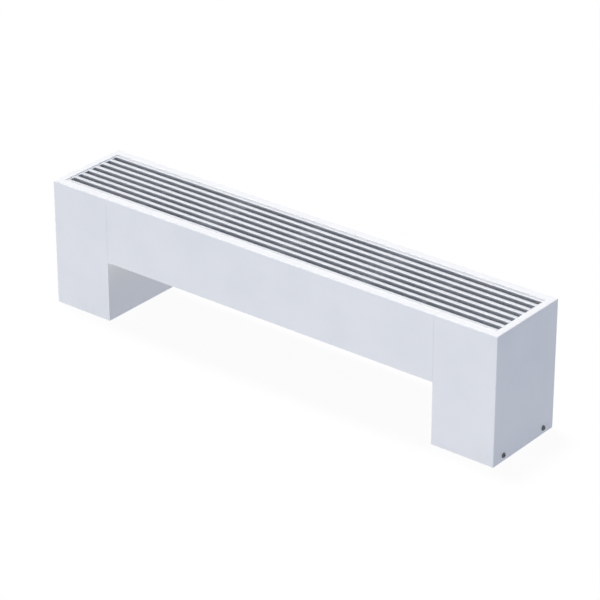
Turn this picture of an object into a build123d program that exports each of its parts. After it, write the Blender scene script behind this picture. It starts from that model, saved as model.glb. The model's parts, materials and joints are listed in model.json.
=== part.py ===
from build123d import *
import os

# Floor-standing water convector: a casing of folded sheet on two hollow legs, an open bar grille
# on top, and a finned heat exchanger in the beam. Millimetres, +Z up, +X along the length towards
# the end with the water connections, front at -Y. The origin is the middle of the footprint.

# Overall
length = 1000.0
depth = 180.0
height = 250.0
leg_width = 130.0
beam_height = 130.0

# Casing sheet
sheet = 1.25
fold_inside = 0.5            # inside radius of the casing's folds
seam = 0.3                   # open joint between two casing sheets
seat_gap = 0.1               # between sheets that lie against each other
rim_side = 17.5              # rim along the front and back
rim_end = 15.0               # rim at the ends
ledge = 6.5                  # inward ledge that the grille lies on
return_flange = 12.0         # fold along the lower edges of the beam
cheek_flange = 14.0

# Grille
bar_count = 8
bar_width = 8.0
bar_height = 18.0
bar_recess = 1.1             # bar tops below the rim
bar_edge = 1.0               # rounding of the bars' top edges
grille_side_play = 0.1       # past the fold at the foot of the lip
grille_end_play = 1.5
end_bar_width = 7.0
end_bar_drop = 3.0           # end bars' tops below the bar tops
cross_bar_count = 5
cross_bar_width = 3.0
cross_bar_height = 8.0
notch_play = 0.1

# Floor stands
stand_sheet = 2.5
stand_fold_inside = 1.5
stand_width = 150.0
stand_tab_height = 22.0
shelf_rise = 10.0            # shelf top above the beam's lower edge
shelf_reach = 24.0           # shelf past the leg's inner face
anchor_spacing = 120.0
anchor_width = 9.0
anchor_length = 20.0
anchor_from_leg_face = 108.0
window_from_leg_face = 30.0
window_length = 60.0
window_depth = 100.0

# Cover screws, two low on each end
cover_screw_inset = 30.0     # in from the front and back edges
cover_screw_height = 11.0
screw_diameter = 5.0
screw_play = 0.25            # radial, in the sheet
thread_play = 0.05           # radial, in the threaded plate
screw_head_diameter = 9.5
screw_head_height = 2.75
screw_length = 10.0

# Bulkheads and braces
zinc_sheet = 1.5
bulkhead_from_leg_face = 16.0
bulkhead_flange = 14.0
tab_spacing = 110.0          # tabs of the bulkhead's foot, in slots of the shelf
tab_width = 20.0
tab_play = 0.15
brace_count = 3
brace_width = 20.0
brace_height = 12.0

# Heat exchanger: two flat steel tubes on edge through a pack of fins, joined by a header box
fin_count = 36
fin_sheet = 0.5
fin_depth = 150.0
fin_height = 60.0
fin_lift = 4.0               # fins above the shelf
fin_end_gap = 8.0            # last fin to the bulkhead
fin_hole_play = 0.05
tube_width = 12.0
tube_height = 40.0
tube_wall = 1.5
tube_spacing = 75.0
tube_hole_play = 0.35
tube_reach = 11.0            # tube ends past the bulkheads
weld_gap = 0.1
header_wall = 3.0
header_length = 20.0         # header past the ends of the tubes
header_margin = 5.0          # header round the tubes

# Water connections in the right leg
pipe_from_leg_face = 60.0    # centre lines of the pipes that come up from the floor
pipe_mouth_height = 130.0
pipe_bore = 18.63            # minor diameter of a half-inch pipe thread
pipe_thread_depth = 14.0
fitting_hex = 32.0
fitting_hex_height = 18.0
fitting_flats = 26.0         # eight-sided body above the hexagon
fitting_neck_diameter = 22.8
fitting_cap = 12.0           # body above the centre line of the tube
connector_length = 9.0       # connector past the header
connector_collar = 3.0
connector_diameter = 21.0
nut_across_flats = 30.0
nut_length = 17.0
nut_lip = 3.0
nut_play = 0.3
bonnet_diameter = 20.0
bonnet_height = 8.0
spindle_diameter = 6.0
spindle_play = 0.05
spindle_depth = 12.0         # spindle inside the bonnet
spindle_grip = 14.0          # spindle above the bonnet
wheel_diameter = 38.0
wheel_height = 26.0
wheel_clearance = 4.0        # wheel above the bonnet
wheel_edge = 3.0
wheel_flat_count = 12
bleed_thread_diameter = 8.0
bleed_thread_length = 6.0
bleed_hex = 13.0
bleed_hex_height = 7.0
bleed_neck_diameter = 9.0
bleed_neck_height = 9.0
bleed_screw_diameter = 5.0
bleed_screw_play = 0.05
bleed_screw_length = 9.0
bleed_screw_proud = 3.0
bleed_slot_width = 1.0
bleed_slot_depth = 1.2

# Places worked out from the sizes
fold_outside = fold_inside + sheet
half_length = length / 2
half_depth = depth / 2
leg_face = half_length - leg_width
beam_bottom = height - beam_height
opening_x = half_length - rim_end
opening_y = half_depth - rim_side
bar_top = height - bar_recess
ledge_top = bar_top - bar_height
ledge_bottom = ledge_top - sheet
inside_y = half_depth - sheet - seat_gap
panel_half = leg_face - seam
bar_half = opening_x - grille_end_play
grille_half = opening_y - fold_inside - grille_side_play
bar_pitch = (2 * grille_half - bar_width) / (bar_count - 1)
end_bar_x = bar_half - end_bar_width
end_bar_top = bar_top - end_bar_drop
cross_bar_pitch = 2 * end_bar_x / (cross_bar_count + 1)
stand_fold_outside = stand_fold_inside + stand_sheet
stand_x = leg_face + sheet + seat_gap
stand_tab_x = half_length - sheet - seat_gap
shelf_top = beam_bottom + shelf_rise
shelf_end = leg_face - shelf_reach
screw_y = half_depth - cover_screw_inset
bulkhead_x = leg_face - bulkhead_from_leg_face
bulkhead_top = ledge_bottom - seat_gap
brace_pitch = 2 * panel_half / (brace_count + 1)
fin_bottom = shelf_top + fin_lift
fin_half = bulkhead_x - fin_end_gap
fin_pitch = 2 * fin_half / (fin_count - 1)
tube_z = fin_bottom + fin_height / 2
tube_y = tube_spacing / 2
tube_end = bulkhead_x + tube_reach
header_half = tube_width / 2 + header_margin
header_height = tube_height + 2 * header_margin
header_end = tube_end + header_length
connector_end = header_end + connector_length
pipe_x = leg_face + pipe_from_leg_face
fitting_top = tube_z + fitting_cap
bonnet_top = fitting_top + bonnet_height
bleed_hex_top = fitting_top + bleed_hex_height
bleed_top = bleed_hex_top + bleed_neck_height

os.makedirs("parts", exist_ok=True)


def save(piece, name):
    piece.part.label = name
    export_step(piece.part, f"parts/{name}.step")


def bent_sheet(plane, points, radii, thickness, reach):
    # The points run along one side of the sheet, with its thickness to their right.
    # Without radii the folds are sharp, as on the pieces that the casing hides.
    with BuildPart() as piece:
        with BuildSketch(plane):
            with BuildLine():
                path = FilletPolyline(*points, radius=radii) if radii else Polyline(*points)
                offset(path, amount=thickness, side=Side.RIGHT, kind=Kind.INTERSECTION)
            make_face()
        extrude(amount=reach)
    return piece


def mirrored(piece, plane):
    with BuildPart() as twin:
        add(piece.part)
        mirror(about=plane, mode=Mode.REPLACE)
    return twin


def group(piece, places):
    with BuildPart() as pieces:
        with Locations(*places):
            add(piece.part)
    return pieces


# Beam panels: lower fold, face, rim, lip beside the grille, ledge under the grille
panel_points = [
    (-half_depth + return_flange, beam_bottom),
    (-half_depth, beam_bottom),
    (-half_depth, height),
    (-opening_y, height),
    (-opening_y, ledge_top),
    (-opening_y + ledge, ledge_top),
]
panel_radii = [fold_outside, fold_outside, fold_outside, fold_inside]
front_panel = bent_sheet(Plane.YZ.offset(-panel_half), panel_points, panel_radii, sheet, 2 * panel_half)
save(front_panel, "front_panel")
save(mirrored(front_panel, Plane.XZ), "back_panel")


# Leg covers: front, end and back in one sheet, with the rim, lip and ledge round the grille's end
def leg_ring(outer_x, outer_y, inner_x, inner_y):
    # Three-sided ring, open towards the beam, in the sketch that calls it.
    with Locations((leg_face, 0)):
        Rectangle(outer_x - leg_face, 2 * outer_y, align=(Align.MIN, Align.CENTER))
        Rectangle(inner_x - leg_face, 2 * inner_y, align=(Align.MIN, Align.CENTER), mode=Mode.SUBTRACT)


cover_screw_places = [
    Plane(origin=(half_length, y, cover_screw_height), z_dir=(1, 0, 0)) for y in (-screw_y, screw_y)
]

with BuildPart() as right_leg_cover:
    with BuildSketch():
        leg_ring(half_length, half_depth, half_length - sheet, half_depth - sheet)
    extrude(amount=height)
    with BuildSketch(Plane.XY.offset(height - sheet)):
        leg_ring(half_length, half_depth, opening_x, opening_y)
    extrude(amount=sheet)
    with BuildSketch(Plane.XY.offset(ledge_bottom)):
        leg_ring(opening_x + sheet, opening_y + sheet, opening_x, opening_y)
    extrude(amount=height - ledge_bottom)
    with BuildSketch(Plane.XY.offset(ledge_bottom)):
        leg_ring(opening_x + sheet, opening_y + sheet, opening_x - ledge, opening_y - ledge)
    extrude(amount=sheet)
    with BuildSketch(*cover_screw_places):
        Circle(screw_diameter / 2 + screw_play)
    extrude(amount=-sheet, mode=Mode.SUBTRACT)
    rim_edges = right_leg_cover.faces().sort_by(Axis.Z)[-1].edges().sort_by(Axis.X)[2:]
    corner_edges = right_leg_cover.edges().filter_by(Axis.Z).group_by(Axis.X)[-1]
    fillet(rim_edges + corner_edges, fold_outside)
save(right_leg_cover, "right_leg_cover")
save(mirrored(right_leg_cover, Plane.YZ), "left_leg_cover")

# Inner cheeks: the sheets that close the legs below the beam
cheek_points = [
    (leg_face + cheek_flange, -inside_y),
    (leg_face, -inside_y),
    (leg_face, inside_y),
    (leg_face + cheek_flange, inside_y),
]
right_cheek = bent_sheet(Plane.XY, cheek_points, None, sheet, beam_bottom)
save(right_cheek, "right_inner_cheek")
save(mirrored(right_cheek, Plane.YZ), "left_inner_cheek")

# Floor stands: tab for the cover screws, base on the floor, web and shelf for the heat exchanger
stand_points = [
    (stand_tab_x, stand_tab_height),
    (stand_tab_x, 0),
    (stand_x, 0),
    (stand_x, shelf_top - stand_sheet),
    (shelf_end, shelf_top - stand_sheet),
]
stand_radii = [stand_fold_outside, stand_fold_outside, stand_fold_inside]
stand_plane = Plane.XZ.offset(-stand_width / 2)
shelf_slot_x = bulkhead_x + zinc_sheet / 2
shelf_slots = [(shelf_slot_x, -tab_spacing / 2), (shelf_slot_x, tab_spacing / 2)]

with BuildPart() as right_stand:
    add(bent_sheet(stand_plane, stand_points, stand_radii, stand_sheet, stand_width).part)
    with BuildSketch():
        with Locations((leg_face + window_from_leg_face + window_length / 2, 0)):
            Rectangle(window_length, window_depth)
        with Locations(*[(leg_face + anchor_from_leg_face, y) for y in (-anchor_spacing / 2, anchor_spacing / 2)]):
            SlotOverall(anchor_length, anchor_width, rotation=90)
    extrude(amount=stand_sheet, mode=Mode.SUBTRACT)
    with BuildSketch(*cover_screw_places):
        Circle(screw_diameter / 2 + thread_play)
    extrude(amount=-2 * fold_outside - stand_sheet, mode=Mode.SUBTRACT)
    with BuildSketch(Plane.XY.offset(shelf_top)):
        with Locations(*shelf_slots):
            Rectangle(zinc_sheet + 2 * tab_play, tab_width + 2 * tab_play)
    extrude(amount=-stand_sheet, mode=Mode.SUBTRACT)
save(right_stand, "right_stand")
save(mirrored(right_stand, Plane.YZ), "left_stand")

# Bulkheads across the beam: folds against the panels, tabs in the shelf, two openings for the tubes
bulkhead_points = [
    (bulkhead_x + bulkhead_flange, -inside_y),
    (bulkhead_x, -inside_y),
    (bulkhead_x, inside_y),
    (bulkhead_x + bulkhead_flange, inside_y),
]
bulkhead_height = bulkhead_top - shelf_top

with BuildPart() as right_bulkhead:
    add(bent_sheet(Plane.XY.offset(shelf_top), bulkhead_points, None, zinc_sheet, bulkhead_height).part)
    with BuildSketch(Plane.XY.offset(shelf_top)):
        with Locations(*shelf_slots):
            Rectangle(zinc_sheet, tab_width)
    extrude(amount=-stand_sheet)
    with BuildSketch(Plane.YZ.offset(bulkhead_x)):
        with Locations((-tube_y, tube_z), (tube_y, tube_z)):
            Rectangle(tube_width + 2 * tube_hole_play, tube_height + 2 * tube_hole_play)
    extrude(amount=zinc_sheet, mode=Mode.SUBTRACT)
save(right_bulkhead, "right_bulkhead")
save(mirrored(right_bulkhead, Plane.YZ), "left_bulkhead")

# Cover screws
with BuildPart() as cover_screw:
    with BuildSketch():
        Circle(screw_head_diameter / 2)
    extrude(amount=screw_head_height)
    with BuildSketch():
        Circle(screw_diameter / 2)
    extrude(amount=-screw_length)

left_screw_places = [
    Plane(origin=(-half_length, y, cover_screw_height), z_dir=(-1, 0, 0)) for y in (-screw_y, screw_y)
]
save(group(cover_screw, cover_screw_places + left_screw_places), "cover_screws")

# Braces: channels between the panels, under the ledges
for number in range(brace_count):
    brace_x = -panel_half + (number + 1) * brace_pitch
    brace_points = [
        (brace_x - brace_width / 2, bulkhead_top - brace_height),
        (brace_x - brace_width / 2, bulkhead_top),
        (brace_x + brace_width / 2, bulkhead_top),
        (brace_x + brace_width / 2, bulkhead_top - brace_height),
    ]
    brace = bent_sheet(Plane.XZ.offset(-inside_y), brace_points, None, sheet, 2 * inside_y)
    save(brace, f"brace_{number + 1}")

# Grille: lengthwise bars, notched underneath for the cross bars and over the end bars
cross_bar_places = [-end_bar_x + (number + 1) * cross_bar_pitch for number in range(cross_bar_count)]

for number in range(bar_count):
    bar_y = -grille_half + bar_width / 2 + number * bar_pitch
    with BuildPart() as grille_bar:
        with BuildSketch(Plane.YZ.offset(-bar_half)):
            with Locations((bar_y, ledge_top)):
                bar_outline = Rectangle(bar_width, bar_height, align=(Align.CENTER, Align.MIN))
            fillet(bar_outline.vertices().group_by(Axis.Y)[-1], bar_edge)
        extrude(amount=2 * bar_half)
        with BuildSketch(Plane.XY.offset(ledge_top)):
            with Locations(*[(x, bar_y) for x in cross_bar_places]):
                Rectangle(cross_bar_width + 2 * notch_play, bar_width)
        extrude(amount=cross_bar_height + notch_play, mode=Mode.SUBTRACT)
        with BuildSketch(Plane.XY.offset(ledge_top)):
            with Locations((-bar_half + end_bar_width / 2, bar_y), (bar_half - end_bar_width / 2, bar_y)):
                Rectangle(end_bar_width + 2 * notch_play, bar_width)
        extrude(amount=end_bar_top + notch_play - ledge_top, mode=Mode.SUBTRACT)
    save(grille_bar, f"grille_bar_{number + 1}")

for name, side in (("left", -1), ("right", 1)):
    with BuildPart() as end_bar:
        with BuildSketch(Plane.XY.offset(ledge_top)):
            with Locations((side * (bar_half - end_bar_width / 2), 0)):
                Rectangle(end_bar_width, 2 * grille_half)
        extrude(amount=end_bar_top - ledge_top)
    save(end_bar, f"grille_end_bar_{name}")

for number, cross_bar_x in enumerate(cross_bar_places):
    with BuildPart() as cross_bar:
        with BuildSketch(Plane.XY.offset(ledge_top)):
            with Locations((cross_bar_x, 0)):
                Rectangle(cross_bar_width, 2 * grille_half)
        extrude(amount=cross_bar_height)
    save(cross_bar, f"grille_cross_bar_{number + 1}")

# Fins on the two tubes
fin_planes = [Plane.YZ.offset(-fin_half + number * fin_pitch) for number in range(fin_count)]

with BuildPart() as exchanger_fins:
    with BuildSketch(*fin_planes):
        with Locations((0, tube_z)):
            Rectangle(fin_depth, fin_height)
        with Locations((-tube_y, tube_z), (tube_y, tube_z)):
            Rectangle(tube_width + 2 * fin_hole_play, tube_height + 2 * fin_hole_play, mode=Mode.SUBTRACT)
    extrude(amount=fin_sheet / 2, both=True)
save(exchanger_fins, "exchanger_fins")

for name, side in (("flow", -1), ("return", 1)):
    with BuildPart() as tube:
        with BuildSketch(Plane.YZ.offset(-tube_end)):
            with Locations((side * tube_y, tube_z)):
                Rectangle(tube_width, tube_height)
                Rectangle(tube_width - 2 * tube_wall, tube_height - 2 * tube_wall, mode=Mode.SUBTRACT)
        extrude(amount=2 * tube_end)
    save(tube, f"{name}_tube")


# Header boxes on the ends of the tubes
def header_box(low_y, high_y, tube_places):
    # Hollow box on the right ends of the tubes that stand at the given places.
    middle = ((low_y + high_y) / 2, tube_z)
    width = high_y - low_y
    with BuildPart() as box:
        with BuildSketch(Plane.YZ.offset(tube_end - header_wall)):
            with Locations(middle):
                Rectangle(width, header_height)
        extrude(amount=header_wall + header_length)
        with BuildSketch(Plane.YZ.offset(tube_end)):
            with Locations(middle):
                Rectangle(width - 2 * header_wall, header_height - 2 * header_wall)
        extrude(amount=header_length - header_wall, mode=Mode.SUBTRACT)
        with BuildSketch(Plane.YZ.offset(tube_end - header_wall)):
            with Locations(*tube_places):
                Rectangle(tube_width + 2 * weld_gap, tube_height + 2 * weld_gap)
        extrude(amount=header_wall, mode=Mode.SUBTRACT)
    return box


turn_header = header_box(-tube_y - header_half, tube_y + header_half, [(-tube_y, tube_z), (tube_y, tube_z)])
save(mirrored(turn_header, Plane.YZ), "turn_header")

for name, side in (("flow", -1), ("return", 1)):
    header = header_box(side * tube_y - header_half, side * tube_y + header_half, [(side * tube_y, tube_z)])
    save(header, f"{name}_header")


# Fittings in the right leg
def along_tube(y, start, end, diameter, mode=Mode.ADD):
    # Round length on the centre line of a tube, in the part that calls it.
    with Locations(Plane(origin=(start, y, tube_z), z_dir=(1, 0, 0))):
        Cylinder(diameter / 2, end - start, align=(Align.CENTER, Align.CENTER, Align.MIN), mode=mode)


def upright(y, low, high, diameter, mode=Mode.ADD):
    # Round length on the centre line of a pipe, in the part that calls it.
    with Locations((pipe_x, y, low)):
        Cylinder(diameter / 2, high - low, align=(Align.CENTER, Align.CENTER, Align.MIN), mode=mode)


def angle_body(y, neck_from, neck_diameter):
    # Angle fitting: hexagon with the pipe thread at the foot, eight-sided body, neck to the header.
    with BuildPart() as body:
        with BuildSketch(Plane.XY.offset(pipe_mouth_height)):
            with Locations((pipe_x, y)):
                RegularPolygon(fitting_hex / 2, 6, major_radius=False)
        extrude(amount=fitting_hex_height)
        with BuildSketch(Plane.XY.offset(pipe_mouth_height + fitting_hex_height)):
            with Locations((pipe_x, y)):
                RegularPolygon(fitting_flats / 2, 8, major_radius=False)
        extrude(amount=fitting_top - pipe_mouth_height - fitting_hex_height)
        along_tube(y, neck_from, pipe_x, neck_diameter)
        upright(y, pipe_mouth_height, pipe_mouth_height + pipe_thread_depth, pipe_bore, Mode.SUBTRACT)
    return body


collar_start = connector_end - connector_collar

with BuildPart() as flow_connector:
    along_tube(-tube_y, header_end, connector_end, connector_diameter)
    along_tube(-tube_y, collar_start, connector_end, fitting_neck_diameter)
save(flow_connector, "flow_connector")

nut_start = collar_start - nut_play - nut_lip

with BuildPart() as union_nut:
    with BuildSketch(Plane.YZ.offset(nut_start)):
        with Locations((-tube_y, tube_z)):
            RegularPolygon(nut_across_flats / 2, 6, major_radius=False)
    extrude(amount=nut_length)
    along_tube(-tube_y, nut_start, nut_start + nut_lip, connector_diameter + 2 * nut_play, Mode.SUBTRACT)
    along_tube(
        -tube_y, nut_start + nut_lip, nut_start + nut_length, fitting_neck_diameter + 2 * nut_play, Mode.SUBTRACT
    )
save(union_nut, "union_nut")

spindle_foot = bonnet_top - spindle_depth

with BuildPart() as valve_body:
    add(angle_body(-tube_y, connector_end, fitting_neck_diameter).part)
    upright(-tube_y, fitting_top, bonnet_top, bonnet_diameter)
    upright(-tube_y, spindle_foot, bonnet_top, spindle_diameter + 2 * spindle_play, Mode.SUBTRACT)
save(valve_body, "valve_body")

with BuildPart() as valve_spindle:
    upright(-tube_y, spindle_foot, bonnet_top + spindle_grip, spindle_diameter)
save(valve_spindle, "valve_spindle")

wheel_bottom = bonnet_top + wheel_clearance
wheel_top = wheel_bottom + wheel_height

with BuildPart() as hand_wheel:
    with BuildSketch(Plane.XY.offset(wheel_bottom)):
        with Locations((pipe_x, -tube_y)):
            RegularPolygon(wheel_diameter / 2, wheel_flat_count)
    extrude(amount=wheel_height)
    chamfer(hand_wheel.faces().sort_by(Axis.Z)[-1].edges(), wheel_edge)
    upright(-tube_y, wheel_bottom, bonnet_top + spindle_grip, spindle_diameter + 2 * spindle_play, Mode.SUBTRACT)
save(hand_wheel, "hand_wheel")

bleed_foot = fitting_top - bleed_thread_length

with BuildPart() as return_elbow:
    add(angle_body(tube_y, header_end, connector_diameter).part)
    upright(tube_y, bleed_foot, fitting_top, bleed_thread_diameter + 2 * thread_play, Mode.SUBTRACT)
save(return_elbow, "return_elbow")

bleed_screw_bottom = bleed_top + bleed_screw_proud - bleed_screw_length

with BuildPart() as bleed_valve:
    upright(tube_y, bleed_foot, fitting_top, bleed_thread_diameter)
    with BuildSketch(Plane.XY.offset(fitting_top)):
        with Locations((pipe_x, tube_y)):
            RegularPolygon(bleed_hex / 2, 6, major_radius=False)
    extrude(amount=bleed_hex_height)
    upright(tube_y, bleed_hex_top, bleed_top, bleed_neck_diameter)
    upright(tube_y, bleed_screw_bottom, bleed_top, bleed_screw_diameter + 2 * bleed_screw_play, Mode.SUBTRACT)
save(bleed_valve, "bleed_valve")

with BuildPart() as bleed_screw:
    upright(tube_y, bleed_screw_bottom, bleed_top + bleed_screw_proud, bleed_screw_diameter)
    with BuildSketch(Plane.XY.offset(bleed_top + bleed_screw_proud)):
        with Locations((pipe_x, tube_y)):
            Rectangle(bleed_screw_diameter, bleed_slot_width)
    extrude(amount=-bleed_slot_depth, mode=Mode.SUBTRACT)
save(bleed_screw, "bleed_screw")
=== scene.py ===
import json
import math

import bmesh
import bpy
from mathutils import Matrix, Vector


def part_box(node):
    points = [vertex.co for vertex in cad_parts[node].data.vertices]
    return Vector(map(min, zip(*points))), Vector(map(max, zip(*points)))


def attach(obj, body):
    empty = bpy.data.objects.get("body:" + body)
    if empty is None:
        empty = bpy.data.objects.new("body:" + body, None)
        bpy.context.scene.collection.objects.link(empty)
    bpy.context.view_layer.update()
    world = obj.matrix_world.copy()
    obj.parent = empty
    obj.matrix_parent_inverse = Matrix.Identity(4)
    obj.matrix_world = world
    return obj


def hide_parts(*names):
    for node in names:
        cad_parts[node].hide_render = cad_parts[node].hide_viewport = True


# A low convector on two hollow legs: white powder-coated casing, bar grille, finned exchanger inside.
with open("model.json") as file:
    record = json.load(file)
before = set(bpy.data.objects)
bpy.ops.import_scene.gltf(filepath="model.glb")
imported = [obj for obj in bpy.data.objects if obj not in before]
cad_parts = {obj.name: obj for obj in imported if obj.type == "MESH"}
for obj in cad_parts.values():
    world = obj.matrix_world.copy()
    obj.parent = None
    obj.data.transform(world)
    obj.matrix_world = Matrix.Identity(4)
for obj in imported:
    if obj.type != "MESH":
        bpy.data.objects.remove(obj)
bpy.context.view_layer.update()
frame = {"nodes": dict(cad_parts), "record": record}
nodes = frame["nodes"]
print("frame loaded with", len(nodes), "nodes")

sameSpot = 1e-6                # metres: two places of the part that differ are further apart


class Wire:
    # An output socket. Operators on it add the Math nodes that they stand for.
    def __init__(self, tree, socket):
        self.tree = tree
        self.socket = socket

    def add(self, kind, settings, inputs, output=0):
        # Any other node: its settings first, then the value or link of each socket.
        made = self.tree.nodes.new(kind)
        for name, value in settings.items():
            setattr(made, name, value)
        for name, value in inputs.items():
            if isinstance(value, Wire):
                self.tree.links.new(value.socket, made.inputs[name])
            else:
                made.inputs[name].default_value = value
        return Wire(self.tree, made.outputs[output]) if made.outputs else None

    def maths(self, operation, first, second):
        return self.add("ShaderNodeMath", {"operation": operation}, {0: first, 1: second})

    def __add__(self, other):
        return self.maths("ADD", self, other)

    def __radd__(self, other):
        return self.maths("ADD", other, self)

    def __sub__(self, other):
        return self.maths("SUBTRACT", self, other)

    def __rsub__(self, other):
        return self.maths("SUBTRACT", other, self)

    def __mul__(self, other):
        return self.maths("MULTIPLY", self, other)

    def __rmul__(self, other):
        return self.maths("MULTIPLY", other, self)


def surface(name):
    # A new material and the wire of the place on the surface, in metres.
    made = bpy.data.materials.new(name)
    made.use_nodes = True
    made.node_tree.nodes.clear()
    coordinates = made.node_tree.nodes.new("ShaderNodeTexCoord")
    return made, Wire(made.node_tree, coordinates.outputs["Object"])


def noise(place, size, detail=2.0):
    return place.add("ShaderNodeTexNoise", {}, {"Vector": place, "Scale": 1 / size, "Detail": detail})


def stretched(place, scales):
    return place.add("ShaderNodeMapping", {}, {"Vector": place, "Scale": scales})


def between(mask, low, high):
    # Even ramp of a mask from 0 at low to 1 at high.
    ends = {"Value": mask, "From Min": low, "From Max": high}
    return mask.add("ShaderNodeMapRange", {"clamp": True}, ends)


def either(first, second):
    return first.maths("MAXIMUM", first, second)


def blendColours(mask, first, second):
    # From the first colour to the second, each three numbers or a wire.
    first, second = (colour if isinstance(colour, Wire) else (*colour, 1) for colour in (first, second))
    return mask.add("ShaderNodeMix", {"data_type": "RGBA"}, {0: mask, 6: first, 7: second}, 2)


def relief(height, depth):
    return height.add("ShaderNodeBump", {}, {"Height": height, "Distance": depth, "Strength": 1.0})


def closeSurface(place, inputs):
    shader = place.add("ShaderNodeBsdfPrincipled", {}, inputs)
    place.add("ShaderNodeOutputMaterial", {}, {"Surface": shader})


# Powder coat: fine orange peel over slow clouds of shade, a little dust low on the legs
coatLook = {
    "colour": (0.865, 0.868, 0.872), "shade": (0.835, 0.84, 0.85),
    "cloudSize": 0.09, "cloudEdges": (0.35, 0.65), "peelSize": 0.0012, "peelDepth": 0.00003,
    "dust": 0.25, "dustColour": (0.70, 0.695, 0.68), "dustSize": 0.012, "dustEdges": (0.45, 0.75),
    "dustHeights": (0.002, 0.03),                      # metres above the floor, from full to none
    "specular": 0.45, "rough": 0.42,
    "cloudRough": 0.08, "peelRough": 0.06, "dustRough": 0.3,
}


def powderCoat(name, look):
    made, place = surface(name)
    clouds = between(noise(place, look["cloudSize"], detail=3.0), *look["cloudEdges"])
    peel = noise(place, look["peelSize"], detail=3.0)
    height = place.add("ShaderNodeSeparateXYZ", {}, {"Vector": place}, 2)
    specks = between(noise(place, look["dustSize"], detail=4.0), *look["dustEdges"])
    dust = (1 - between(height, *look["dustHeights"])) * specks * look["dust"]
    paint = blendColours(clouds, look["colour"], look["shade"])
    wear = look["cloudRough"] * clouds + look["peelRough"] * peel + look["dustRough"] * dust
    closeSurface(place, {
        "Base Color": blendColours(dust, paint, look["dustColour"]),
        "Roughness": look["rough"] + wear,
        "Normal": relief(peel, look["peelDepth"]),
        "Specular IOR Level": look["specular"],
    })
    return made


# Bare and plated metals. metal is below 1 under a matt layer of oxide. The smaller a number of grain,
# the further the grain is drawn out along that axis.
metals = {
    "satinAnodised": {
        "colour": (0.62, 0.635, 0.67), "shade": (0.585, 0.60, 0.635), "metal": 0.50, "rough": 0.34,
        "grain": (0.03, 1, 1), "grainSize": 0.0012, "depth": 0.00001,
    },
    "zincPlate": {
        "colour": (0.66, 0.68, 0.70), "shade": (0.52, 0.545, 0.58), "metal": 1.0, "rough": 0.34,
        "grain": (1, 1, 1), "grainSize": 0.006, "depth": 0.00003,
    },
    # Fins: the dark base colour is painted shade, standing in for the shadowed inside under the grille
    "paintedShadeFinSheet": {
        "colour": (0.42, 0.43, 0.45), "shade": (0.30, 0.31, 0.33), "metal": 1.0, "rough": 0.52,
        "grain": (1, 0.08, 1), "grainSize": 0.002, "depth": 0.00002,
    },
    "nickelPlate": {
        "colour": (0.74, 0.71, 0.65), "shade": (0.60, 0.56, 0.49), "metal": 1.0, "rough": 0.24,
        "grain": (1, 1, 1), "grainSize": 0.004, "depth": 0.00002,
    },
    # Cover screws: the near-black base colour is painted shade, standing in for the shadow in and round
    # the sockets
    "paintedShadeScrewMetal": {
        "colour": (0.13, 0.13, 0.14), "shade": (0.08, 0.08, 0.09), "metal": 1.0, "rough": 0.28,
        "grain": (1, 1, 1), "grainSize": 0.0015, "depth": 0.00001,
    },
    "screwSteel": {
        "colour": (0.72, 0.72, 0.73), "shade": (0.56, 0.57, 0.59), "metal": 1.0, "rough": 0.22,
        "grain": (1, 1, 1), "grainSize": 0.0015, "depth": 0.00001,
    },
}
metalWear = {"tarnishSize": 0.03, "tarnishEdges": (0.35, 0.7), "tarnishRough": 0.10, "grainRough": 0.14}


def bareMetal(name, look):
    made, place = surface(name)
    grain = noise(stretched(place, look["grain"]), look["grainSize"], detail=4.0)
    tarnish = between(noise(place, metalWear["tarnishSize"], detail=3.0), *metalWear["tarnishEdges"])
    wear = metalWear["grainRough"] * grain + metalWear["tarnishRough"] * tarnish
    closeSurface(place, {
        "Base Color": blendColours(tarnish, look["colour"], look["shade"]),
        "Metallic": look["metal"],
        "Roughness": look["rough"] + wear,
        "Normal": relief(grain, look["depth"]),
    })
    return made


# Grey primer on the exchanger's steel, with soft vertical runs
primerLook = {
    "colour": (0.15, 0.155, 0.16), "shade": (0.21, 0.215, 0.22),
    "runs": (1, 1, 0.3), "runSize": 0.008, "runEdges": (0.3, 0.7),
    "rough": 0.55, "gritRough": 0.15, "gritSize": 0.0008, "depth": 0.00004,
}


def primer(name, look):
    made, place = surface(name)
    runs = between(noise(stretched(place, look["runs"]), look["runSize"], detail=3.0), *look["runEdges"])
    grit = noise(place, look["gritSize"])
    closeSurface(place, {
        "Base Color": blendColours(runs, look["colour"], look["shade"]),
        "Roughness": look["rough"] + look["gritRough"] * grit,
        "Normal": relief(grit, look["depth"]),
    })
    return made


# White plastic of the hand wheel, fine grained and a little yellowed where it is handled
plasticLook = {
    "colour": (0.84, 0.84, 0.83), "shade": (0.78, 0.775, 0.76),
    "handledSize": 0.01, "handledEdges": (0.4, 0.7),
    "rough": 0.5, "grainRough": 0.1, "grainSize": 0.0006, "depth": 0.00004,
}


def grainedPlastic(name, look):
    made, place = surface(name)
    grain = noise(place, look["grainSize"])
    handled = between(noise(place, look["handledSize"], detail=3.0), *look["handledEdges"])
    closeSurface(place, {
        "Base Color": blendColours(handled, look["colour"], look["shade"]),
        "Roughness": look["rough"] + look["grainRough"] * grain,
        "Normal": relief(grain, look["depth"]),
    })
    return made


finishes = {"casingCoat": powderCoat("casingCoat", coatLook)}
finishes.update({name: bareMetal(name, look) for name, look in metals.items()})
finishes["headerPrimer"] = primer("headerPrimer", primerLook)
finishes["wheelPlastic"] = grainedPlastic("wheelPlastic", plasticLook)

slotFinish = {
    "white_paint": "casingCoat",
    "anodised_grille": "satinAnodised",
    "zinc_steel": "zincPlate",
    "screw_steel": "screwSteel",
    "aluminium": "paintedShadeFinSheet",
    "dark_steel": "headerPrimer",
    "brass_fitting": "nickelPlate",
    "white_plastic": "wheelPlastic",
}
for part in frame["record"]["subparts"]:
    for holder in nodes[part["node"]].material_slots:
        holder.material = finishes[slotFinish[part["material_slot"]]]
print("finishes laid on the packed pieces")


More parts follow.
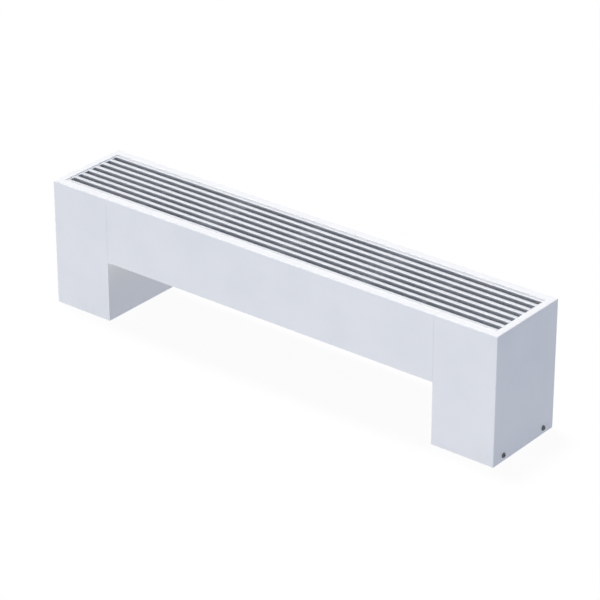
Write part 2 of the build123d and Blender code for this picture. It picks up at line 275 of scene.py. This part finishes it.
def addPiece(name, shape, finish, body):
    # Turns a bmesh into an object that rides on a body.
    bmesh.ops.recalc_face_normals(shape, faces=shape.faces)
    mesh = bpy.data.meshes.new(name)
    shape.to_mesh(mesh)
    shape.free()
    piece = bpy.data.objects.new(name, mesh)
    bpy.context.scene.collection.objects.link(piece)
    mesh.materials.append(finishes[finish])
    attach(piece, body)
    return piece


def smoothBelow(piece, crease):
    # Round faces shade smoothly, and edges sharper than the crease stay crisp.
    piece.data.shade_smooth()
    piece.data.set_sharp_from_angle(angle=crease)


def ringAt(shape, place, radii, heights):
    # Ring of points round the local Z axis, with a radius and a height for each direction.
    step = 2 * math.pi / len(radii)
    return [
        shape.verts.new(place @ Vector((radius * math.cos(n * step), radius * math.sin(n * step), height)))
        for n, (radius, height) in enumerate(zip(radii, heights))
    ]


def joinRings(shape, rings):
    for first, second in zip(rings, rings[1:]):
        for n in range(len(first)):
            following = (n + 1) % len(first)
            shape.faces.new((first[n], first[following], second[following], second[n]))


def turned(shape, place, profile, count):
    # Solid of revolution from (radius, height) pairs; a radius may be a function of the direction.
    rings = []
    for radius, height in profile:
        radii = [radius(2 * math.pi * n / count) if callable(radius) else radius for n in range(count)]
        rings.append(ringAt(shape, place, radii, [height] * count))
    joinRings(shape, rings)
    shape.faces.new(rings[0])
    shape.faces.new(rings[-1])


def flatsRadius(acrossFlats, sides):
    # Radius of a regular polygon in a given direction.
    step = 2 * math.pi / sides
    return lambda turn: acrossFlats / 2 / math.cos((turn + step / 2) % step - step / 2)


# Cover screws: domed heads with a hexagon socket, near-black as painted shade of the sockets and heads.
# Radii, unless they say otherwise.
screwLook = {
    "head": 0.00475, "headHeight": 0.00275, "rimHeight": 0.0004, "flat": 0.0022, "domeSteps": 8,
    "shank": 0.0025, "shankLength": 0.010, "shankChamfer": 0.0005,
    "acrossFlats": 0.003, "socketDepth": 0.0018, "brokenEdge": 0.00012,
    "drillPoint": 0.0002, "drillDepth": 0.0006, "segments": 48, "crease": math.radians(35),
}


def coverScrews():
    look = screwLook
    shape = bmesh.new()
    low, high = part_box("cover_screws")
    socket = flatsRadius(look["acrossFlats"], sides=6)
    top, floor = look["headHeight"], look["headHeight"] - look["socketDepth"]
    dome = []
    for step in range(look["domeSteps"] + 1):
        turn = math.pi / 2 * step / look["domeSteps"]
        radius = look["flat"] + (look["head"] - look["flat"]) * math.cos(turn)
        dome.append((radius, look["rimHeight"] + (top - look["rimHeight"]) * math.sin(turn)))
    profile = [
        (look["shank"] - look["shankChamfer"], -look["shankLength"]),
        (look["shank"], -look["shankLength"] + look["shankChamfer"]),
        (look["shank"], 0),
        (look["head"], 0),
        *dome,
        (lambda turn: socket(turn) + look["brokenEdge"], top),
        (socket, top - look["brokenEdge"]),
        (socket, floor),
        (look["drillPoint"], floor - look["drillDepth"]),
    ]
    for side in (-1, 1):
        for y in (low[1] + look["head"], high[1] - look["head"]):
            seat = Vector((side * (high[0] - top), y, (low[2] + high[2]) / 2))
            place = Matrix.Translation(seat) @ Matrix.Rotation(side * math.pi / 2, 4, "Y")
            turned(shape, place, profile, look["segments"])
    piece = addPiece("coverScrewHeads", shape, "paintedShadeScrewMetal", "casing")
    smoothBelow(piece, look["crease"])
    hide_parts("cover_screws")


# Grille: bars with rounded top edges that reach the rim, and end bars that fill the slots' ends
grilleLook = {
    "bars": 8, "crossBars": 5, "rimEnd": 0.015, "endPlay": 0.0003, "notchPlay": 0.0001,
    "edge": 0.0005, "edgeSteps": 3, "endBarWidth": 0.0035, "endBarEdge": 0.0004, "endBarSteps": 2,
    "leftDrop": 0.0002, "rightDrop": 0.0025,           # how far each end bar lies below the bars' tops
    "crease": math.radians(40),
}


def prism(outline, along, start, end):
    # Closed outline in the two other axes, drawn out along one axis from start to end.
    shape = bmesh.new()
    caps = []
    for reach in (start, end):
        corners = []
        for first, second in outline:
            corner = [first, second]
            corner.insert(along, reach)
            corners.append(shape.verts.new(corner))
        caps.append(corners)
        shape.faces.new(corners)
    joinRings(shape, caps)
    return shape


def roundTopEdges(shape, top, along, radius, steps):
    # Rounds the edges at the top that run along one axis.
    other = 1 - along
    edges = [
        edge for edge in shape.edges
        if all(abs(v.co[2] - top) < sameSpot for v in edge.verts)
        and abs(edge.verts[0].co[other] - edge.verts[1].co[other]) < sameSpot
    ]
    bmesh.ops.bevel(shape, geom=edges, offset=radius, segments=steps, profile=0.5, affect="EDGES")


def grille():
    look = grilleLook
    play = look["notchPlay"]
    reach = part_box("right_leg_cover")[1][0] - look["rimEnd"] - look["endPlay"]
    inner = reach - look["endBarWidth"]
    bars = [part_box(f"grille_bar_{n + 1}") for n in range(look["bars"])]
    crosses = [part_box(f"grille_cross_bar_{n + 1}") for n in range(look["crossBars"])]
    crosses.sort(key=lambda box: box[0][0])
    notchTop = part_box("grille_end_bar_left")[1][2] + play
    for n, (low, high) in enumerate(bars):
        foot, top = low[2], high[2]
        outline = [(-reach, notchTop), (-inner + play, notchTop), (-inner + play, foot)]
        for crossLow, crossHigh in crosses:
            left, right, roof = crossLow[0] - play, crossHigh[0] + play, crossHigh[2] + play
            outline += [(left, foot), (left, roof), (right, roof), (right, foot)]
        outline += [(inner - play, foot), (inner - play, notchTop), (reach, notchTop)]
        outline += [(reach, top), (-reach, top)]
        shape = prism(outline, 1, low[1], high[1])
        roundTopEdges(shape, top, 0, look["edge"], look["edgeSteps"])
        piece = addPiece(f"grilleBar{n + 1}", shape, "satinAnodised", "grille")
        smoothBelow(piece, look["crease"])
        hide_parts(f"grille_bar_{n + 1}")
    for name, side in (("left", -1), ("right", 1)):
        low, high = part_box(f"grille_end_bar_{name}")
        tooth = bars[0][1][2] - look[f"{name}Drop"]
        outline = [(low[1], low[2]), (low[1], high[2])]
        for first, second in zip(bars, bars[1:]):
            left, right = first[1][1] + play, second[0][1] - play
            outline += [(left, high[2]), (left, tooth), (right, tooth), (right, high[2])]
        outline += [(high[1], high[2]), (high[1], low[2])]
        shape = prism(outline, 0, side * inner, side * reach)
        roundTopEdges(shape, tooth, 1, look["endBarEdge"], look["endBarSteps"])
        piece = addPiece(f"{name}EndBar", shape, "satinAnodised", "grille")
        smoothBelow(piece, look["crease"])
        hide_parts(f"grille_end_bar_{name}")


# Fins: thin rippled sheets with a collar round each tube; their dark metal colour is painted shade for the
# space under the grille
finLook = {
    "pitch": 0.005, "thick": 0.0003, "ripple": 0.0004, "rippleLength": 0.0125,
    "column": 0.0045,          # widest step of the sheet's mesh
    "collar": 0.0016,
}


def spread(low, high, step):
    # Even stops from low to high, no further apart than the step.
    count = max(1, math.ceil((high - low) / step))
    return [low + (high - low) * n / count for n in range(count + 1)]


def exchangerFins():
    look = finLook
    shape = bmesh.new()
    low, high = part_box("exchanger_fins")
    tubes = [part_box("flow_tube"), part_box("return_tube")]
    edges = [low[1], tubes[0][0][1], tubes[0][1][1], tubes[1][0][1], tubes[1][1][1], high[1]]
    columns = []
    for first, second in zip(edges, edges[1:]):
        columns += spread(first, second, look["column"])[:-1]
    columns.append(edges[-1])
    rows = [low[2], tubes[0][0][2], tubes[0][1][2], high[2]]
    margin = look["ripple"] + look["thick"]
    planes = spread(low[0] + margin, high[0] - margin - look["collar"], look["pitch"])

    def rippled(x, y):
        return x + look["ripple"] * math.sin(2 * math.pi * (y - low[1]) / look["rippleLength"])

    for x in planes:
        grid = [[shape.verts.new((rippled(x, y), y, z)) for z in rows] for y in columns]
        for n, y in enumerate(columns[:-1]):
            inTube = any(tube[0][1] - sameSpot < y < tube[1][1] - sameSpot for tube in tubes)
            for m in range(len(rows) - 1):
                if not (inTube and m == 1):
                    shape.faces.new((grid[n][m], grid[n + 1][m], grid[n + 1][m + 1], grid[n][m + 1]))
        for near, far in tubes:
            corners = [(near[1], rows[1]), (far[1], rows[1]), (far[1], rows[2]), (near[1], rows[2])]
            mouth = [shape.verts.new((x, y, z)) for y, z in corners]
            lip = [shape.verts.new((x + look["collar"], y, z)) for y, z in corners]
            joinRings(shape, [mouth, lip])
    piece = addPiece("finPack", shape, "paintedShadeFinSheet", "casing")
    sheetThickness = piece.modifiers.new("sheetThickness", "SOLIDIFY")
    sheetThickness.thickness = look["thick"]
    sheetThickness.offset = 0
    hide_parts("exchanger_fins")
    print("fin pack:", len(planes), "fins")


# Hand wheel: soft grips all round, domed top
wheelLook = {
    "grips": 12, "gripDepth": 0.0012, "gripStart": 0.0006, "gripFull": 0.002, "startDepth": 0.2,
    "hub": 0.55, "web": 0.6, "shoulder": 0.965, "waist": 0.96, "neck": 0.945,      # shares of the radius
    "crown": 0.5, "tip": 0.05, "crownDrop": 0.0004, "tipDrop": 0.00005,
    "skirt": 0.005, "skirtChamfer": 0.0006, "webDepth": 0.0012,
    "edge": 0.004, "edgeRise": 0.85, "edgeSteps": 6,   # the rise is a share of the edge's own round
    "bore": 0.0032, "boreRoom": 0.0003, "boreTip": 0.1, "boreCone": 0.0002,
    "segments": 144, "crease": math.radians(40),
}


def handWheel():
    look = wheelLook
    shape = bmesh.new()
    low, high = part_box("hand_wheel")
    radius = (high[0] - low[0]) / 2
    height = high[2] - low[2]
    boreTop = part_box("valve_spindle")[1][2] - low[2] + look["boreRoom"]
    skirt, web, chamfer = look["skirt"], look["webDepth"], look["skirtChamfer"]
    shoulder = height - look["edge"]

    def gripped(scale, share):
        # Radius with the grips cut in to a share of their depth.
        def at(turn):
            wave = 0.5 - 0.5 * math.cos(look["grips"] * turn)
            return radius * scale - look["gripDepth"] * share * wave ** 2
        return at

    profile = [
        (look["bore"] * look["boreTip"], boreTop + look["boreCone"]),
        (look["bore"], boreTop),
        (look["bore"], 0.0),
        (radius * look["hub"], 0.0),
        (radius * look["web"], web),
        (radius - chamfer, web),
        (radius, web + chamfer),
        (radius, skirt),
        (gripped(look["shoulder"], look["startDepth"]), skirt + look["gripStart"]),
        (gripped(look["waist"], 1.0), skirt + look["gripFull"]),
        (gripped(look["neck"], 1.0), shoulder),
    ]
    for step in range(1, look["edgeSteps"] + 1):
        turn = math.pi / 2 * step / look["edgeSteps"]
        inward = look["edge"] * (1 - math.cos(turn)) / radius
        rise = look["edge"] * math.sin(turn) * look["edgeRise"]
        profile.append((gripped(look["neck"] - inward, math.cos(turn) ** 2), shoulder + rise))
    profile += [
        (radius * look["crown"], height - look["crownDrop"]),
        (radius * look["tip"], height - look["tipDrop"]),
    ]
    centre = Matrix.Translation(((low[0] + high[0]) / 2, (low[1] + high[1]) / 2, low[2]))
    turned(shape, centre, profile, look["segments"])
    piece = addPiece("gripWheel", shape, "wheelPlastic", "hand_wheel")
    smoothBelow(piece, look["crease"])
    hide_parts("hand_wheel")


# Union nut: hexagon with both ends bevelled, as turned from bar
nutLook = {
    "acrossFlats": 0.030, "bevel": math.radians(30), "endShare": 0.985, "segments": 72,
    "lipBore": 0.0108,         # radius over the connector's tail
    "lipLength": 0.003, "threadRoom": 0.0003, "crease": math.radians(28),
}


def unionNut():
    look = nutLook
    shape = bmesh.new()
    low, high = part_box("union_nut")
    connectorLow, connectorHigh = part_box("flow_connector")
    threadBore = (connectorHigh[1] - connectorLow[1]) / 2 + look["threadRoom"]
    length = high[0] - low[0]
    centre = Matrix.Translation((low[0], (low[1] + high[1]) / 2, (low[2] + high[2]) / 2))
    place = centre @ Matrix.Rotation(math.pi / 2, 4, "Y")
    count = look["segments"]
    flats = flatsRadius(look["acrossFlats"], sides=6)
    endRadius = look["acrossFlats"] / 2 * look["endShare"]
    corner = [flats(2 * math.pi * n / count + math.pi / 6) for n in range(count)]
    bevelled = [(radius - endRadius) * math.tan(look["bevel"]) for radius in corner]

    def level(radius, height):
        return ringAt(shape, place, [radius] * count, [height] * count)

    rings = [
        level(look["lipBore"], 0.0),
        level(endRadius, 0.0),
        ringAt(shape, place, corner, bevelled),
        ringAt(shape, place, corner, [length - drop for drop in bevelled]),
        level(endRadius, length),
        level(threadBore, length),
        level(threadBore, look["lipLength"]),
        level(look["lipBore"], look["lipLength"]),
    ]
    joinRings(shape, rings + rings[:1])
    piece = addPiece("bevelledNut", shape, "nickelPlate", "casing")
    smoothBelow(piece, look["crease"])
    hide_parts("union_nut")


coverScrews()
grille()
exchangerFins()
handWheel()
unionNut()
print("detailed pieces made")


def rayIsSeen(wire):
    # 1 for rays that show the background, in sight or in a reflection.
    path = wire.tree.nodes.new("ShaderNodeLightPath")
    seen = Wire(wire.tree, path.outputs["Is Camera Ray"])
    mirrored = Wire(wire.tree, path.outputs["Is Glossy Ray"])
    through = Wire(wire.tree, path.outputs["Is Transmission Ray"])
    return either(seen, either(mirrored, through))


# Floor: pale paper that lights the object from below, and plain white where the camera sees it
floorLook = {
    "shade": 0.30,             # what the paper throws back
    "mottle": (0.98, 0.98, 0.99), "mottleSize": 0.4, "mottleEdges": (0.3, 0.7),
    "fill": 0.84,              # share of its light that stays in the shade under the beam
    "sight": 0.95,             # the white in sight, and the share of plain light in it
    "glow": 0.95,
    "rough": 0.9, "specular": 0.1, "reach": 14.0,
}


def studioFloor():
    look = floorLook
    made, place = surface("studioFloor")
    glow = place.add("ShaderNodeEmission", {}, {"Color": (1, 1, 1, 1), "Strength": 1.0})
    seen = rayIsSeen(place)
    mottle = between(noise(place, look["mottleSize"]), *look["mottleEdges"])
    pale = (look["shade"],) * 3
    paper = blendColours(mottle, pale, [look["shade"] * share for share in look["mottle"]])
    matt = place.add("ShaderNodeBsdfPrincipled", {}, {
        "Base Color": paper, "Roughness": look["rough"], "Specular IOR Level": look["specular"],
    })
    filled = place.add("ShaderNodeMixShader", {}, {0: look["fill"], 1: matt, 2: glow})
    white = place.add("ShaderNodeBsdfPrincipled", {}, {
        "Base Color": (look["sight"], look["sight"], look["sight"], 1), "Roughness": look["rough"],
    })
    inSight = place.add("ShaderNodeMixShader", {}, {0: look["glow"], 1: white, 2: glow})
    mixed = place.add("ShaderNodeMixShader", {}, {0: seen, 1: filled, 2: inSight})
    place.add("ShaderNodeOutputMaterial", {}, {"Surface": mixed})
    shape = bmesh.new()
    reach = look["reach"]
    corners = [(-reach, -reach, 0), (reach, -reach, 0), (reach, reach, 0), (-reach, reach, 0)]
    shape.faces.new([shape.verts.new(corner) for corner in corners])
    mesh = bpy.data.meshes.new("studioFloor")
    shape.to_mesh(mesh)
    shape.free()
    mesh.materials.append(made)
    floor = bpy.data.objects.new("studioFloor", mesh)
    bpy.context.scene.collection.objects.link(floor)


# Light: two lamps and a sky that is blue low down and dim overhead
lighting = {
    "lamps": {                 # where each comes from, its power, colour and softness
        "topLamp": ((-0.25, 0.10, 0.96), 2.84, (1.0, 0.97, 0.92), math.radians(12)),
        "frontLamp": ((-0.30, -0.91, 0.28), 1.07, (1.0, 0.97, 0.90), math.radians(30)),
    },
    "lowSky": (0.08, 0.20, 0.50),
    "highSky": (0.09, 0.10, 0.12),
    "skyTurn": (0.35, 0.60),   # sine of the elevation where the low sky ends and the high sky begins
}


def studioLight():
    world = bpy.data.worlds.new("studioWorld")
    bpy.context.scene.world = world
    world.use_nodes = True
    tree = world.node_tree
    tree.nodes.clear()
    coordinates = tree.nodes.new("ShaderNodeTexCoord")
    start = Wire(tree, coordinates.outputs["Generated"])
    rise = start.add("ShaderNodeSeparateXYZ", {}, {"Vector": start}, 2)
    light = blendColours(between(rise, *lighting["skyTurn"]), lighting["lowSky"], lighting["highSky"])
    colour = blendColours(rayIsSeen(start), light, (1, 1, 1))
    sky = start.add("ShaderNodeBackground", {}, {"Color": colour, "Strength": 1.0})
    start.add("ShaderNodeOutputWorld", {}, {"Surface": sky})
    for name, (source, power, tint, softness) in lighting["lamps"].items():
        lamp = bpy.data.lights.new(name, "SUN")
        lamp.energy = power
        lamp.color = tint
        lamp.angle = softness
        holder = bpy.data.objects.new(name, lamp)
        holder.rotation_mode = "QUATERNION"
        holder.rotation_quaternion = Vector(source).to_track_quat("Z", "Y")
        bpy.context.scene.collection.objects.link(holder)


cameraView = {
    "place": (2.838, -3.561, 2.445),
    "turn": -0.671,            # heading, radians from +Y towards +X
    "tilt": math.radians(27.0),
    "lens": 171.0,
    "sensor": 36,
    "clip": (0.1, 60),
}


def studioCamera():
    data = bpy.data.cameras.new("studioCamera")
    data.lens = cameraView["lens"]
    data.sensor_width = cameraView["sensor"]
    data.clip_start, data.clip_end = cameraView["clip"]
    camera = bpy.data.objects.new("studioCamera", data)
    turn, tilt = cameraView["turn"], cameraView["tilt"]
    forward = Vector((math.sin(turn) * math.cos(tilt), math.cos(turn) * math.cos(tilt), -math.sin(tilt)))
    camera.location = cameraView["place"]
    camera.rotation_mode = "QUATERNION"
    camera.rotation_quaternion = forward.to_track_quat("-Z", "Y")
    bpy.context.scene.collection.objects.link(camera)
    bpy.context.scene.camera = camera


studioFloor()
studioLight()
studioCamera()
bpy.context.scene.view_settings.view_transform = "Standard"
print("studio ready")
